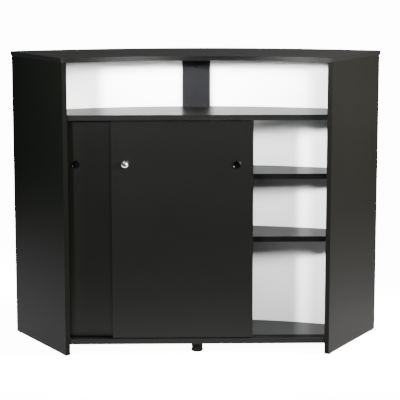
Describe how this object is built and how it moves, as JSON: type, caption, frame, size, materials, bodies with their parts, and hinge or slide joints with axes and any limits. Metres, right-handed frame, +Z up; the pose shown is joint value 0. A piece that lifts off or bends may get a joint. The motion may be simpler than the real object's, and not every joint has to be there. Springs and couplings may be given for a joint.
{
  "type": "curved bar counter cabinet",
  "caption": "Curved bar counter with an overhanging worktop, open niche, sliding doors with a push lock, and adjustable shelves.",
  "frame": {"origin": "middle of the footprint's bounding box, on the floor", "axes": "+X to the right seen from the service side, -Y towards the service side, +Z up"},
  "size_m": [1.345, 0.4439, 1.048],
  "materials": {
    "anthracite_board": "anthracite melamine with a fine satin grain, glossier edge banding",
    "worktop_board": "anthracite melamine, satin, glossy edge banding",
    "white_sheet": "white lacquered thin sheet",
    "track_plastic": "black extruded plastic",
    "foot_plastic": "black moulded plastic",
    "cup_plastic": "black moulded plastic",
    "lock_chrome": "polished chrome",
    "zinc": "zinc plated steel",
    "beech": "plain beech"
  },
  "bodies": {
    "carcass": {"worktop": "worktop_board", "left_side_panel": "anthracite_board", "right_side_panel": "anthracite_board", "bottom_panel": "anthracite_board", "niche_shelf": "anthracite_board", "centre_partition": "anthracite_board", "centre_upright": "anthracite_board", "facade_left": "white_sheet", "facade_right": "white_sheet", "upper_shelf_left": "anthracite_board", "upper_shelf_right": "anthracite_board", "lower_shelf_left": "anthracite_board", "lower_shelf_right": "anthracite_board", "lower_track": "track_plastic", "upper_track": "track_plastic", "front_foot": "foot_plastic", "rear_foot": "foot_plastic", "side_glides": "foot_plastic", "cam_locks": "zinc", "cam_caps": "cup_plastic", "cam_dowels": "zinc", "wooden_dowels": "beech", "shelf_pins": "zinc", "foot_screws": "zinc", "facade_brads": "zinc"},
    "front_door": {"front_door": "anthracite_board", "front_door_cup": "cup_plastic", "front_door_runners": "track_plastic", "front_door_guides": "track_plastic", "lock_housing": "lock_chrome", "lock_nut": "zinc"},
    "rear_door": {"rear_door": "anthracite_board", "rear_door_cup": "cup_plastic", "rear_door_runners": "track_plastic", "rear_door_guides": "track_plastic", "lock_strike": "zinc"},
    "plunger": {"lock_plunger": "lock_chrome", "lock_spring": "zinc"},
    "key_plug": {"lock_plug": "lock_chrome"}
  },
  "joints": [
    {"name": "front_door_slide", "type": "slide", "parent": "carcass", "child": "front_door", "axis": [1, 0, 0], "range_m": [-0.157, 0.26]},
    {"name": "rear_door_slide", "type": "slide", "parent": "carcass", "child": "rear_door", "axis": [1, 0, 0], "range_m": [0, 0.426]},
    {"name": "lock_push", "type": "slide", "parent": "front_door", "child": "plunger", "axis": [0, 1, 0], "range_m": [0, 0.0065], "stiffness_N_per_m": 300, "deforming": ["lock_spring"]},
    {"name": "lock_turn", "type": "hinge", "parent": "plunger", "child": "key_plug", "pos_m": [-0.2505, -0.197, 0.68], "axis": [0, 1, 0], "range_deg": [0, 90]}
  ]
}
